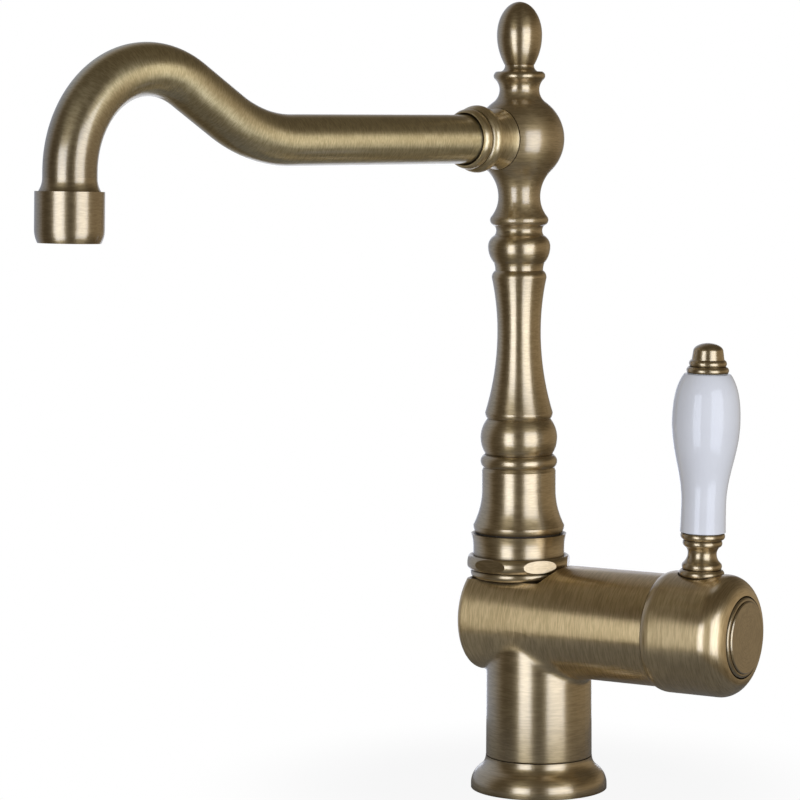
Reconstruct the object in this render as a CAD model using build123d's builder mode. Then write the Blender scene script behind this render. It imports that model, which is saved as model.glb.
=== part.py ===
from build123d import *
import os
from math import cos, radians, sin, sqrt, tan

# Single-lever kitchen mixer tap with a swan-neck spout. Millimetres.
# Origin: centre of the base's underside, on the pedestal axis. +Z is up, +X runs along the barrel
# towards the lever, and the user stands on the -Y side.

# Fits
fit_gap = 0.05
running_gap = 0.05
moving_gap = 0.3
key_sides = 6

# Layout
barrel_height = 72.0
column_offset = 10.0
spout_heading = -101.6

# Base flange and gasket
flange_r = 28.8
flange_rim_h = 1.6
flange_shoulder_r = 25.2
flange_shoulder_h = 7.1
flange_neck_r = 22.5
flange_neck_h = 5.1
gasket_t = 1.8
gasket_in_r = 21.5
gasket_w = 4.0

# Pedestal
pedestal_r = 22.4
pedestal_top_r = 22.1
pedestal_edge = 0.7
stub_r = 19.0
stub_lift = 1.0
inlet_x = 5.0
inlet_y = 7.5
inlet_thread_r = 4.5
inlet_thread_len = 12.0
stud_x = -9.0
stud_thread_r = 3.4
stud_thread_len = 20.0

# Barrel
barrel_r = 23.4
barrel_back = 27.4
barrel_front = 60.4
barrel_back_round = 3.0
barrel_front_edge = 0.4
spot_depth = 6.3
spot_r = 24.0
outlet_well_r = 8.0
outlet_well_depth = 8.7

# Cartridge
chamber_r = 17.45
nut_thread_r = 19.0
nut_len = 8.0
nut_recess = 0.5
nut_bore_r = 12.4
nut_notch_w = 4.0
nut_notch_depth = 3.0
nut_notch_len = 3.5
nut_notches = 4
housing_len = 23.5
housing_bore_r = 15.0
housing_lid_t = 2.2
base_t = 7.0
port_r = 3.2
inlet_port_y = 7.5
inlet_port_drop = 4.5
outlet_port_rise = 4.5
seal_t = 1.6
seal_w = 1.4
peg_r = 1.5
peg_len = 3.0
peg_circle_r = 13.5
fixed_disc_r = 14.4
fixed_disc_t = 3.5
moving_disc_r = 10.8
moving_disc_t = 3.0
mixing_pocket_r = 7.6
mixing_pocket_depth = 1.6
coupler_r = 11.4
coupler_t = 5.5
coupler_gap = 0.2
carrier_r = 14.9
carrier_neck_r = 11.6
carrier_neck_out = 6.7
pivot_depth = 14.0
pivot_r = 2.0
pivot_len = 26.0

# Lever spindle
tilt_max = 20.0
spindle_w = 8.0
spindle_end = 25.0
spindle_arm = 8.0
spindle_tip_r = 2.4
spindle_arm_h = 3.4
spindle_gap = 0.15

# Handle cap
cap_step = 1.75
cap_gap = 0.25
cap_swing_gap = 0.35
cap_lip_t = 0.4
cap_bevel_len = 4.0
cap_len = 35.05
cap_round = 9.2
cap_rim_w = 8.15
cap_recess_depth = 3.0
cap_mouth_len = 8.8
cap_wall = 3.9
cap_front_wall = 4.6
hub_r = 8.5
hub_back_gap = 8.8
screw_r = 2.5
screw_head_r = 4.2
screw_head_h = 3.0
screw_grip = 9.0
screw_key_w = 3.0
screw_key_depth = 1.5
bezel_gap = 0.5
bezel_edge_h = 2.6
bezel_rise = 1.2
bezel_seat_depth = 2.0
bezel_w = 1.75
index_rise = 0.8
index_edge = 0.4

# Lever
post_x = 75.55
lever_lean = 1.5
post_seat_depth = 1.3
post_seat_r = 9.7
post_foot_r = 9.3
post_foot_h = 2.9
post_step_r = 8.26
post_step_h = 2.6
post_waist_r = 5.96
post_waist_low_h = 3.9
post_waist_high_h = 3.1
post_ring_r = 8.15
post_ring_h = 2.5
post_top_r = 9.15
post_top_h = 2.9
post_top_peak = 1.7
post_inset = 0.5
rod_r = 2.5
rod_grip = 12.0
rod_end = 1.7
boss_r = 6.0
washer_t = 0.4
washer_r = 8.2
grip_bore_r = 2.9
grip_foot_r = 9.35
grip_neck_r = 9.15
grip_belly_r = 13.9
grip_top_r = 9.5
grip_neck_h = 11.5
grip_belly_h = 33.7
grip_shoulder_h = 19.5
grip_shoulder_slope = 1.35
end_ring_r = 8.65
end_ring_h = 2.7
end_step_r = 7.7
end_step_h = 2.8
end_dome_r = 6.65
end_dome_h = 6.7
end_dome_edge_h = 3.4
end_dome_taper = 0.5
end_inset = 0.45

# Swivel under the column
socket_thread_r = 10.4
socket_thread_len = 7.0
socket_bore_r = 12.0
socket_wall = 4.9
socket_floor_h = 3.4
water_r = 6.5
socket_seal_r = 13.6
socket_seal_t = 1.2
bead_foot_r = 18.1
bead_r = 20.4
bead_h = 3.7
bead_groove = 0.8
nut_ring_r = 22.4
nut_ring_edge_r = 20.75
nut_ring_h = 5.8
nut_flat_d = 21.1
nut_flat_angle = 25.0
nut_flats = 6
collar_r = 19.3
collar_rim_r = 20.15
collar_h = 9.2
collar_flare_h = 6.0
slip_t = 0.6
slip_r = 17.8
spigot_floor_gap = 1.0
spigot_thread_r = 10.0
spigot_thread_len = 12.0
oring_r = 1.0
oring_low = 2.2
oring_pitch = 3.6
oring_room = 0.15
keeper_groove_w = 3.6
keeper_groove_depth = 1.8
keeper_height = 4.6
keeper_r = 2.0
keeper_tip_r = 1.4
keeper_key_w = 1.8
keeper_key_depth = 2.0
keeper_angle = 90.0

# Column, from its foot up
bell_foot_r = 18.5
bell_r = 19.3
bell_foot_h = 2.8
bell_h = 15.2
drum_r = 15.6
drum_h = 7.9
groove_r = 15.0
groove_h = 1.5
ring_r = 16.2
ring_h = 5.6
bulb_foot_r = 14.2
bulb_r = 16.2
bulb_h = 15.0
bulb_peak = 6.8
rim_groove_r = 13.35
rim_r = 14.3
rim_h = 2.6
waist_r = 9.15
shaft_low_h = 34.4
shaft_high_h = 22.6
shaft_rim_r = 11.55
shaft_rim_h = 3.0
vase_groove_r = 10.05
vase_foot_r = 10.6
vase_foot_h = 3.0
vase_r = 13.1
vase_h = 14.8
vase_peak = 10.0
seat_foot_r = 10.3
seat_r = 9.7
seat_h = 2.0
head_thread_r = 7.5
head_thread_len = 12.0

# Ball head and finial
head_lip_r = 10.6
head_lip_h = 2.0
head_ring_r = 12.25
head_ring_h = 3.6
head_ring_peak = 2.5
head_ring_top_r = 11.9
head_cove_h = 8.4
head_neck_r = 8.82
ball_rise = 24.2
ball_r = 18.86
ball_top_rise = 20.5
ball_top_r = 8.35
ball_flat_d = 13.8
ball_water_r = 5.0
finial_stud_r = 3.0
finial_stud_len = 9.0
finial_cove_h = 4.2
finial_ring_r = 10.75
finial_ring_h = 3.3
finial_ring_peak = 1.1
finial_ring_foot_r = 10.1
finial_ring_top_r = 9.7
finial_step_h = 2.6
finial_neck_r = 6.07
egg_r = 9.45
egg_low_h = 12.6
egg_high_h = 13.8

# Spout union
union_neck_r = 12.7
union_waist_r = 11.6
union_flare_len = 6.0
union_seam = 0.45
union_neck_end = 23.9
union_spigot_r = 8.0
union_spigot_len = 8.0
union_thread_r = 10.9
union_thread_len = 6.2
union_seal_t = 2.2
union_bead_r = 13.9
union_bead_edge_r = 12.3
union_bead_len = 5.6
union_groove_r = 11.6
union_lip_r = 12.4
union_lip_edge_r = 11.4
union_lip_len = 4.5
union_mouth_w = 0.8
union_mouth_depth = 1.2
tube_socket_depth = 8.0

# Spout tube
tube_r = 10.0
tube_wall = 1.25
rise_angle = 31.0
bend_r = 65.6
arch_r = 38.3
arch_drop = 11.8
arch_d = 207.0
outlet_tilt = 1.5

# Spout end and aerator
leg_len = 7.3
flare_h = 4.9
flare_r = 11.4
outlet_spigot_len = 1.5
outlet_thread_r = 11.0
outlet_thread_len = 8.0
aerator_r = 12.8
aerator_mouth_r = 11.6
aerator_len = 18.8
aerator_taper_h = 5.0
aerator_lip_r = 9.4
aerator_lip_h = 1.5
aerator_washer_t = 1.4
insert_bore_r = 7.2
insert_flange_h = 1.6
insert_foot_r = 10.2
screen_t = 1.0
screen_hole_r = 0.8
screen_pitch = 2.4
screen_rings = 3
screen_first_ring = 6

# Heights and places that follow from the sizes above
flange_h = flange_rim_h + flange_shoulder_h + flange_neck_h
spot_z = barrel_height + barrel_r - spot_depth
nut_ring_z = spot_z + bead_h
collar_z = nut_ring_z + nut_ring_h
collar_top = collar_z + collar_h
column_z = collar_top + slip_t
housing_front = barrel_front - nut_recess - nut_len
base_front = housing_front - housing_len
chamber_floor = base_front - base_t
pivot_x = barrel_front - pivot_depth
cap_back = barrel_front + cap_gap
cap_front = cap_back + cap_len
cap_floor = cap_front - cap_recess_depth
cap_r = barrel_r + cap_step
cap_cavity_r = cap_r - cap_wall
cap_recess_r = cap_r - cap_rim_w
bezel_r = cap_recess_r - bezel_gap
index_r = bezel_r - bezel_w
post_seat = cap_r - post_seat_depth

# Planes whose first coordinate is the radius or the distance along, and whose second is the height
column_plane = Plane((-column_offset, 0, 0), x_dir=(1, 0, 0), z_dir=(0, -1, 0))
column_axis = Axis((-column_offset, 0, 0), (0, 0, 1))
barrel_plane = Plane((0, 0, barrel_height), x_dir=(1, 0, 0), z_dir=(0, -1, 0))
barrel_axis = Axis((0, 0, barrel_height), (1, 0, 0))
lean = radians(lever_lean)
lever_up = Vector(sin(lean), 0, cos(lean))
lever_plane = Plane((post_x, 0, barrel_height), x_dir=(cos(lean), 0, -sin(lean)), z_dir=(0, -1, 0))
lever_axis = Axis((post_x, 0, barrel_height), lever_up)


# Weights that make a three-point Bezier curve an exact quarter of an ellipse
quarter_ellipse = [1, sqrt(0.5), 1]


def turned(plane, axis, *points):
    with BuildPart() as piece:
        with BuildSketch(plane):
            with BuildLine():
                Polyline(*points, close=True)
            make_face()
        revolve(axis=axis)
    return piece


def ring_of(plane, axis, inner_r, outer_r, low, high):
    return turned(plane, axis, (inner_r, low), (outer_r, low), (outer_r, high), (inner_r, high))


def level(height, x=0.0, y=0.0):
    return Plane((x, y, height))


def across_barrel(x):
    return Plane((x, 0, barrel_height), x_dir=(0, 1, 0), z_dir=(1, 0, 0))


def round_fillet_r(neck_r, rise):
    # Radius of the cove that leaves a neck upright and runs tangent onto the ball
    return (neck_r**2 + rise**2 - ball_r**2) / (2 * (ball_r - neck_r))


def cove_meets_ball(neck_r, rise):
    # Radius and height below the ball's centre where that cove meets the ball
    cove_r = round_fillet_r(neck_r, rise)
    share = ball_r / (ball_r + cove_r)
    return (neck_r + cove_r) * share, rise * share


# Base flange: bell-shaped foot with a groove for the gasket
gasket_out_r = gasket_in_r + gasket_w
with BuildPart() as base_flange:
    with BuildSketch(Plane.XZ):
        with BuildLine():
            shoulder_z = flange_rim_h + flange_shoulder_h
            Polyline(
                (stub_r + fit_gap, flange_h),
                (stub_r + fit_gap, 0),
                (gasket_in_r, 0),
                (gasket_in_r, gasket_t),
                (gasket_out_r, gasket_t),
                (gasket_out_r, 0),
                (flange_r, 0),
                (flange_r, flange_rim_h),
            )
            TangentArc((flange_r, flange_rim_h), (flange_shoulder_r, shoulder_z), tangent=(0, 1))
            TangentArc(
                (flange_shoulder_r, shoulder_z),
                (flange_neck_r, flange_h),
                tangent=(0, -1),
                tangent_from_first=False,
            )
            Line((flange_neck_r, flange_h), (stub_r + fit_gap, flange_h))
        make_face()
    revolve(axis=Axis.Z)

base_gasket = ring_of(
    Plane.XZ, Axis.Z, gasket_in_r + fit_gap, gasket_out_r - fit_gap, 0, gasket_t
)

# Mixer body: pedestal and barrel in one casting
inlet_places = [(inlet_x, -inlet_y), (inlet_x, inlet_y)]
inlet_ports = [(-inlet_port_y, -inlet_port_drop), (inlet_port_y, -inlet_port_drop)]
outlet_port = (0, outlet_port_rise)
pegs = [(-peg_circle_r, 0), (peg_circle_r, 0)]
with BuildPart() as mixer_body:
    with BuildSketch(Plane.XZ):
        with BuildLine():
            Polyline(
                (0, barrel_height),
                (0, stub_lift),
                (stub_r, stub_lift),
                (stub_r, flange_h),
                (pedestal_r - pedestal_edge, flange_h),
            )
            TangentArc(
                (pedestal_r - pedestal_edge, flange_h),
                (pedestal_r, flange_h + pedestal_edge),
                tangent=(1, 0),
            )
            Polyline(
                (pedestal_r, flange_h + pedestal_edge),
                (pedestal_top_r, barrel_height),
                (0, barrel_height),
            )
        make_face()
    revolve(axis=Axis.Z)
    with BuildSketch(barrel_plane):
        with BuildLine():
            Polyline(
                (-barrel_back, barrel_r - barrel_back_round),
                (-barrel_back, 0),
                (barrel_front, 0),
                (barrel_front, barrel_r - barrel_front_edge),
                (barrel_front - barrel_front_edge, barrel_r),
                (-barrel_back + barrel_back_round, barrel_r),
            )
            TangentArc(
                (-barrel_back + barrel_back_round, barrel_r),
                (-barrel_back, barrel_r - barrel_back_round),
                tangent=(-1, 0),
            )
        make_face()
    revolve(axis=barrel_axis)
    # Flat under the swivel, its threaded bore and the water well below
    with BuildSketch(level(spot_z, -column_offset)):
        Circle(spot_r)
    extrude(amount=barrel_r, mode=Mode.SUBTRACT)
    with BuildSketch(level(spot_z, -column_offset)):
        Circle(socket_thread_r + fit_gap)
    extrude(amount=-socket_thread_len - fit_gap, mode=Mode.SUBTRACT)
    with BuildSketch(level(spot_z - socket_thread_len, -column_offset)):
        Circle(outlet_well_r)
    extrude(amount=-outlet_well_depth, mode=Mode.SUBTRACT)
    # Cartridge chamber with its nut thread, and the holes for the locating pegs
    with BuildSketch(across_barrel(chamber_floor)):
        Circle(chamber_r)
    extrude(amount=barrel_front - chamber_floor, mode=Mode.SUBTRACT)
    with BuildSketch(across_barrel(housing_front)):
        Circle(nut_thread_r)
    extrude(amount=nut_len + nut_recess, mode=Mode.SUBTRACT)
    with BuildSketch(across_barrel(chamber_floor)):
        with Locations(*pegs):
            Circle(peg_r + fit_gap)
    extrude(amount=-peg_len - fit_gap, mode=Mode.SUBTRACT)
    # Waterways from the chamber's floor: two to the inlets, one to the well under the column
    with BuildSketch(across_barrel(chamber_floor)):
        with Locations(*inlet_ports):
            Circle(port_r)
    extrude(amount=inlet_x - chamber_floor, mode=Mode.SUBTRACT)
    with BuildSketch(across_barrel(chamber_floor)):
        with Locations(outlet_port):
            Circle(port_r)
    extrude(amount=-column_offset - chamber_floor, mode=Mode.SUBTRACT)
    with BuildSketch(level(stub_lift)):
        with Locations(*inlet_places):
            Circle(port_r)
    extrude(amount=barrel_height - inlet_port_drop - stub_lift, mode=Mode.SUBTRACT)
    with BuildSketch(level(stub_lift)):
        with Locations(*inlet_places):
            Circle(inlet_thread_r)
    extrude(amount=inlet_thread_len, mode=Mode.SUBTRACT)
    with BuildSketch(level(stub_lift)):
        with Locations((stud_x, 0)):
            Circle(stud_thread_r)
    extrude(amount=stud_thread_len, mode=Mode.SUBTRACT)

# Swivel socket: threaded bush with a bead, a nut ring with oval flats and an upstand
socket_out_r = socket_bore_r + socket_wall
socket_floor = spot_z + socket_floor_h
keeper_turn = radians(keeper_angle)
keeper_plane = Plane(
    (-column_offset, 0, collar_z + keeper_height), z_dir=(cos(keeper_turn), sin(keeper_turn), 0)
)
with BuildPart() as swivel_socket:
    with BuildSketch(column_plane):
        with BuildLine():
            Polyline(
                (bead_foot_r, spot_z),
                (socket_seal_r + fit_gap, spot_z),
                (socket_seal_r + fit_gap, spot_z + socket_seal_t),
                (socket_thread_r, spot_z + socket_seal_t),
                (socket_thread_r, spot_z - socket_thread_len),
                (water_r, spot_z - socket_thread_len),
                (water_r, socket_floor),
                (socket_bore_r, socket_floor),
                (socket_bore_r, collar_top),
                (socket_out_r, collar_top),
                (socket_out_r, collar_z),
                (nut_ring_edge_r, collar_z),
            )
            ThreePointArc(
                (nut_ring_edge_r, collar_z),
                (nut_ring_r, nut_ring_z + nut_ring_h / 2),
                (nut_ring_edge_r, nut_ring_z),
            )
            Line((nut_ring_edge_r, nut_ring_z), (bead_r - bead_groove, nut_ring_z))
            ThreePointArc(
                (bead_r - bead_groove, nut_ring_z), (bead_r, nut_ring_z - bead_h * 0.42), (bead_foot_r, spot_z)
            )
        make_face()
    revolve(axis=column_axis)
    # Wrench flats, cut square to the axis round the nut ring alone
    with BuildSketch(level(nut_ring_z, -column_offset)):
        Circle(nut_ring_r + fit_gap)
        RegularPolygon(
            nut_flat_d,
            nut_flats,
            major_radius=False,
            rotation=nut_flat_angle + 180 / nut_flats,
            mode=Mode.SUBTRACT,
        )
    extrude(amount=nut_ring_h, mode=Mode.SUBTRACT)
    # Hole for the grub screw
    with BuildSketch(keeper_plane):
        Circle(keeper_r + fit_gap)
    extrude(amount=socket_out_r + fit_gap, mode=Mode.SUBTRACT)

socket_seal = ring_of(
    column_plane, column_axis, socket_thread_r + fit_gap, socket_seal_r, spot_z, spot_z + socket_seal_t
)

# Collar: plain sleeve with a flared rim round the socket's upstand
with BuildPart() as swivel_collar:
    with BuildSketch(column_plane):
        with BuildLine():
            flare_z = collar_top - collar_flare_h
            Polyline(
                (collar_rim_r, collar_top),
                (socket_out_r + fit_gap, collar_top),
                (socket_out_r + fit_gap, collar_z),
                (collar_r, collar_z),
                (collar_r, flare_z),
            )
            TangentArc((collar_r, flare_z), (collar_rim_r, collar_top), tangent=(0, 1))
        make_face()
    revolve(axis=column_axis)
    with BuildSketch(keeper_plane):
        Circle(keeper_r + fit_gap)
    extrude(amount=collar_rim_r, mode=Mode.SUBTRACT)

slip_ring = ring_of(
    column_plane, column_axis, socket_bore_r + fit_gap, slip_r, collar_top, column_z
)

# Spigot: the turning fit under the column, with grooves for two rings and for the grub screw
spigot_r = socket_bore_r - running_gap
spigot_foot = socket_floor + spigot_floor_gap
oring_zs = [spigot_foot + oring_low, spigot_foot + oring_low + oring_pitch]
oring_centre_r = socket_bore_r - running_gap - oring_r
oring_groove_r = oring_centre_r - oring_r - fit_gap
oring_half_w = oring_r + oring_room
keeper_z = collar_z + keeper_height
keeper_groove_r = spigot_r - keeper_groove_depth
with BuildPart() as swivel_spigot:
    with BuildSketch(column_plane):
        with BuildLine():
            Polyline(
                (water_r, spigot_foot),
                (spigot_r, spigot_foot),
                (spigot_r, column_z),
                (spigot_thread_r - fit_gap, column_z),
                (spigot_thread_r - fit_gap, column_z + spigot_thread_len),
                (water_r, column_z + spigot_thread_len),
                close=True,
            )
        make_face()
    revolve(axis=column_axis)
    with BuildSketch(column_plane):
        for groove_z in oring_zs:
            with Locations((oring_groove_r, groove_z)):
                Rectangle(spigot_r, oring_half_w * 2, align=(Align.MIN, Align.CENTER))
        with Locations((keeper_groove_r, keeper_z)):
            Rectangle(spigot_r, keeper_groove_w, align=(Align.MIN, Align.CENTER))
    revolve(axis=column_axis, mode=Mode.SUBTRACT)

with BuildPart() as swivel_orings:
    with BuildSketch(column_plane):
        for groove_z in oring_zs:
            with Locations((oring_centre_r, groove_z)):
                Circle(oring_r)
    revolve(axis=column_axis)

# Grub screw: its tip runs in the spigot's groove
keeper_tip_start = keeper_groove_r + moving_gap
keeper_tip_end = socket_bore_r + moving_gap
keeper_out = collar_r - moving_gap
with BuildPart() as retaining_screw:
    with BuildSketch(keeper_plane.offset(keeper_tip_start)):
        Circle(keeper_tip_r)
    extrude(amount=keeper_out - keeper_tip_start)
    with BuildSketch(keeper_plane.offset(keeper_tip_end)):
        Circle(keeper_r)
    extrude(amount=keeper_out - keeper_tip_end)
    with BuildSketch(keeper_plane.offset(keeper_out)):
        RegularPolygon(keeper_key_w / 2, key_sides, major_radius=False)
    extrude(amount=-keeper_key_depth, mode=Mode.SUBTRACT)

# Column: turned baluster, each stretch standing on the one below
bell_z = column_z + bell_foot_h
drum_z = bell_z + bell_h
groove_z = drum_z + drum_h
ring_z = groove_z + groove_h
bulb_z = ring_z + ring_h
rim_z = bulb_z + bulb_h
shaft_z = rim_z + rim_h
waist_z = shaft_z + shaft_low_h
shaft_rim_z = waist_z + shaft_high_h
vase_z = shaft_rim_z + shaft_rim_h
seat_z = vase_z + vase_h
column_top = seat_z + seat_h
head_foot = column_top - head_thread_len
with BuildPart() as column:
    with BuildSketch(column_plane):
        with BuildLine():
            Polyline(
                (seat_r, column_top),
                (head_thread_r, column_top),
                (head_thread_r, head_foot),
                (water_r, head_foot),
                (water_r, column_z + spigot_thread_len),
                (spigot_thread_r, column_z + spigot_thread_len),
                (spigot_thread_r, column_z),
                (bell_foot_r, column_z),
            )
            TangentArc(
                (bell_foot_r, column_z), (bell_r, bell_z), tangent=(0, -1), tangent_from_first=False
            )
            TangentArc((bell_r, bell_z), (drum_r, drum_z), tangent=(0, -1), tangent_from_first=False)
            Polyline((drum_r, drum_z), (drum_r, groove_z), (groove_r, ring_z))
            ThreePointArc((groove_r, ring_z), (ring_r, ring_z + ring_h / 2), (bulb_foot_r, bulb_z))
            ThreePointArc(
                (bulb_foot_r, bulb_z), (bulb_r, bulb_z + bulb_peak), (rim_groove_r, rim_z)
            )
            TangentArc(
                (rim_groove_r, rim_z), (rim_r, shaft_z), tangent=(0, -1), tangent_from_first=False
            )
            TangentArc((rim_r, shaft_z), (waist_r, waist_z), tangent=(0, -1), tangent_from_first=False)
            TangentArc((waist_r, waist_z), (shaft_rim_r, shaft_rim_z), tangent=(0, 1))
            TangentArc((shaft_rim_r, shaft_rim_z), (vase_groove_r, vase_z), tangent=(0, 1))
            TangentArc(
                (vase_groove_r, vase_z), (vase_foot_r, vase_z + vase_foot_h), tangent=(0, 1)
            )
            TangentArc(
                (vase_foot_r, vase_z + vase_foot_h),
                (vase_r, vase_z + vase_peak),
                tangent=(0, -1),
                tangent_from_first=False,
            )
            TangentArc((vase_r, vase_z + vase_peak), (seat_foot_r, seat_z), tangent=(0, 1))
            TangentArc(
                (seat_foot_r, seat_z), (seat_r, column_top), tangent=(0, -1), tangent_from_first=False
            )
        make_face()
    revolve(axis=column_axis)

# Ball head: ring, neck and ball, with the waterway turning into the spout
head_ring_z = column_top + head_lip_h
head_cove_z = head_ring_z + head_ring_h
head_neck_z = head_cove_z + head_cove_h
ball_z = head_neck_z + ball_rise
head_top = ball_z + ball_top_rise
head_spigot_r = head_thread_r - fit_gap
head_oring_z = column_top - head_thread_len / 2
low_meet_r, low_meet_drop = cove_meets_ball(head_neck_r, ball_rise)
high_meet_r, high_meet_rise = cove_meets_ball(ball_top_r, ball_top_rise)
spout_turn = radians(spout_heading)
spout_out = Vector(cos(spout_turn), sin(spout_turn), 0)
spout_side = Vector(sin(spout_turn), -cos(spout_turn), 0)
spout_plane = Plane((-column_offset, 0, 0), x_dir=spout_out, z_dir=spout_side)
spout_axis = Axis((-column_offset, 0, ball_z), spout_out)
across_spout = Plane((-column_offset, 0, ball_z), x_dir=spout_side, z_dir=spout_out)
with BuildPart() as ball_head:
    with BuildSketch(column_plane):
        with BuildLine():
            Polyline(
                (ball_top_r, head_top),
                (0, head_top),
                (0, head_foot),
                (head_spigot_r, head_foot),
                (head_spigot_r, column_top),
                (seat_r, column_top),
            )
            TangentArc((seat_r, column_top), (head_lip_r, head_ring_z), tangent=(0, 1))
            ThreePointArc(
                (head_lip_r, head_ring_z),
                (head_ring_r, head_ring_z + head_ring_peak),
                (head_ring_top_r, head_cove_z),
            )
            TangentArc(
                (head_ring_top_r, head_cove_z),
                (head_neck_r, head_neck_z),
                tangent=(0, -1),
                tangent_from_first=False,
            )
            TangentArc(
                (head_neck_r, head_neck_z), (low_meet_r, ball_z - low_meet_drop), tangent=(0, 1)
            )
            ThreePointArc(
                (low_meet_r, ball_z - low_meet_drop),
                (ball_r, ball_z),
                (high_meet_r, ball_z + high_meet_rise),
            )
            TangentArc(
                (high_meet_r, ball_z + high_meet_rise),
                (ball_top_r, head_top),
                tangent=(0, -1),
                tangent_from_first=False,
            )
        make_face()
    revolve(axis=column_axis)
    # Flat and threaded mouth for the spout, waterway, and groove for the sealing ring
    with BuildSketch(across_spout.offset(ball_flat_d)):
        Circle(ball_r)
    extrude(amount=ball_r, mode=Mode.SUBTRACT)
    with BuildSketch(across_spout.offset(ball_flat_d)):
        Circle(union_spigot_r + fit_gap)
    extrude(amount=-union_spigot_len - fit_gap, mode=Mode.SUBTRACT)
    with BuildSketch(across_spout.offset(ball_flat_d)):
        Circle(ball_water_r)
    extrude(amount=-ball_flat_d, mode=Mode.SUBTRACT)
    with BuildSketch(level(head_foot, -column_offset)):
        Circle(ball_water_r)
    extrude(amount=ball_z - head_foot, mode=Mode.SUBTRACT)
    with BuildSketch(level(head_top, -column_offset)):
        Circle(finial_stud_r + fit_gap)
    extrude(amount=-finial_stud_len - fit_gap, mode=Mode.SUBTRACT)
    with BuildSketch(column_plane):
        with Locations((head_thread_r - seal_w, head_oring_z)):
            Rectangle(head_thread_r, seal_t, align=(Align.MIN, Align.CENTER))
    revolve(axis=column_axis, mode=Mode.SUBTRACT)

column_oring = ring_of(
    column_plane,
    column_axis,
    head_thread_r - seal_w + fit_gap,
    head_thread_r - fit_gap,
    head_oring_z - seal_t / 2 + fit_gap,
    head_oring_z + seal_t / 2 - fit_gap,
)

# Finial: ring, neck and egg on a threaded stud
finial_ring_z = head_top + finial_cove_h
finial_step_z = finial_ring_z + finial_ring_h
egg_z = finial_step_z + finial_step_h
egg_mid = egg_z + egg_low_h
egg_top = egg_mid + egg_high_h
with BuildPart() as finial:
    with BuildSketch(column_plane):
        with BuildLine():
            Polyline(
                (0, egg_top),
                (0, head_top - finial_stud_len),
                (finial_stud_r, head_top - finial_stud_len),
                (finial_stud_r, head_top),
                (ball_top_r, head_top),
            )
            TangentArc((ball_top_r, head_top), (finial_ring_foot_r, finial_ring_z), tangent=(0, 1))
            ThreePointArc(
                (finial_ring_foot_r, finial_ring_z),
                (finial_ring_r, finial_ring_z + finial_ring_peak),
                (finial_ring_top_r, finial_step_z),
            )
            TangentArc(
                (finial_ring_top_r, finial_step_z),
                (finial_neck_r, egg_z),
                tangent=(0, -1),
                tangent_from_first=False,
            )
            TangentArc(
                (finial_neck_r, egg_z), (egg_r, egg_mid), tangent=(0, -1), tangent_from_first=False
            )
            Bezier((egg_r, egg_mid), (egg_r, egg_top), (0, egg_top), weights=quarter_ellipse)
        make_face()
    revolve(axis=column_axis)

# Spout union: socket screwed into the ball, sealing ring and double-bead nut
union_groove_d = union_neck_end + union_bead_len
union_nut_end = union_groove_d + union_lip_len
union_seal_d = union_neck_end + union_thread_len
tube_start = union_seal_d - tube_socket_depth
tube_bore_r = tube_r - tube_wall


def union_point(distance, radius):
    return (distance, ball_z + radius)


def spout_turned(*points):
    return turned(spout_plane, spout_axis, *[union_point(*point) for point in points])


flare_start = union_point(ball_flat_d + union_seam + union_flare_len, union_waist_r)
flare_end = union_point(ball_flat_d + union_seam, union_neck_r)
with BuildPart() as union_socket:
    with BuildSketch(spout_plane):
        with BuildLine():
            Polyline(
                flare_start,
                union_point(union_neck_end, union_waist_r),
                union_point(union_neck_end, union_thread_r),
                union_point(union_seal_d, union_thread_r),
                union_point(union_seal_d, tube_r + fit_gap),
                union_point(tube_start, tube_r + fit_gap),
                union_point(tube_start, ball_water_r),
                union_point(ball_flat_d - union_spigot_len, ball_water_r),
                union_point(ball_flat_d - union_spigot_len, union_spigot_r),
                union_point(ball_flat_d, union_spigot_r),
                union_point(ball_flat_d, union_neck_r - union_seam),
                flare_end,
            )
            TangentArc(flare_start, flare_end, tangent=(-1, 0))
        make_face()
    revolve(axis=spout_axis)
union_oring = spout_turned(
    (union_seal_d, tube_r + fit_gap),
    (union_seal_d, union_thread_r),
    (union_seal_d + union_seal_t, union_thread_r),
    (union_seal_d + union_seal_t, tube_r + fit_gap),
)
with BuildPart() as union_nut:
    with BuildSketch(spout_plane):
        with BuildLine():
            nut_bore = union_thread_r + fit_gap
            seal_end = union_seal_d + union_seal_t
            Polyline(
                union_point(union_neck_end, union_bead_edge_r),
                union_point(union_neck_end, nut_bore),
                union_point(seal_end, nut_bore),
                union_point(seal_end, tube_r + fit_gap),
                union_point(union_nut_end - union_mouth_depth, tube_r + fit_gap),
                union_point(union_nut_end, tube_r + fit_gap + union_mouth_w),
                union_point(union_nut_end, union_lip_edge_r),
            )
            ThreePointArc(
                union_point(union_nut_end, union_lip_edge_r),
                union_point(union_groove_d + union_lip_len / 2, union_lip_r),
                union_point(union_groove_d, union_groove_r),
            )
            ThreePointArc(
                union_point(union_groove_d, union_groove_r),
                union_point(union_neck_end + union_bead_len / 2, union_bead_r),
                union_point(union_neck_end, union_bead_edge_r),
            )
        make_face()
    revolve(axis=spout_axis)

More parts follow.
